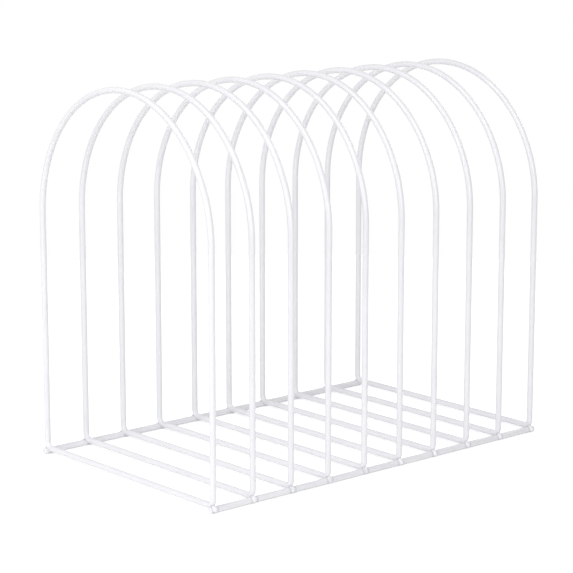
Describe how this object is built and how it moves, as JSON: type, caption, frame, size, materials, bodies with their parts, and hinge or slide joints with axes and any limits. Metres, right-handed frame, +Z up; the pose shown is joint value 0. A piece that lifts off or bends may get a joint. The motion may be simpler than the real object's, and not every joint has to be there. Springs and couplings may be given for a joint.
{
  "type": "wire file rack",
  "caption": "Desk rack of arched wire loops welded in a row on two straight rails, with open slots that hold files, folders or magazines upright.",
  "frame": {"origin": "on the surface that the rack stands on, below the middle of its box", "axes": "+X along the rails, from the first loop to the last; +Y across the rack, from the front rail to the back rail; +Z up"},
  "size_m": [0.331, 0.2084, 0.2892],
  "materials": {
    "powder_coat": "white semi-gloss powder coat on steel wire"
  },
  "bodies": {
    "root": {"loop_01": "powder_coat", "loop_02": "powder_coat", "loop_03": "powder_coat", "loop_04": "powder_coat", "loop_05": "powder_coat", "loop_06": "powder_coat", "loop_07": "powder_coat", "loop_08": "powder_coat", "loop_09": "powder_coat", "loop_10": "powder_coat", "rail_front": "powder_coat", "rail_back": "powder_coat"}
  },
  "joints": []
}
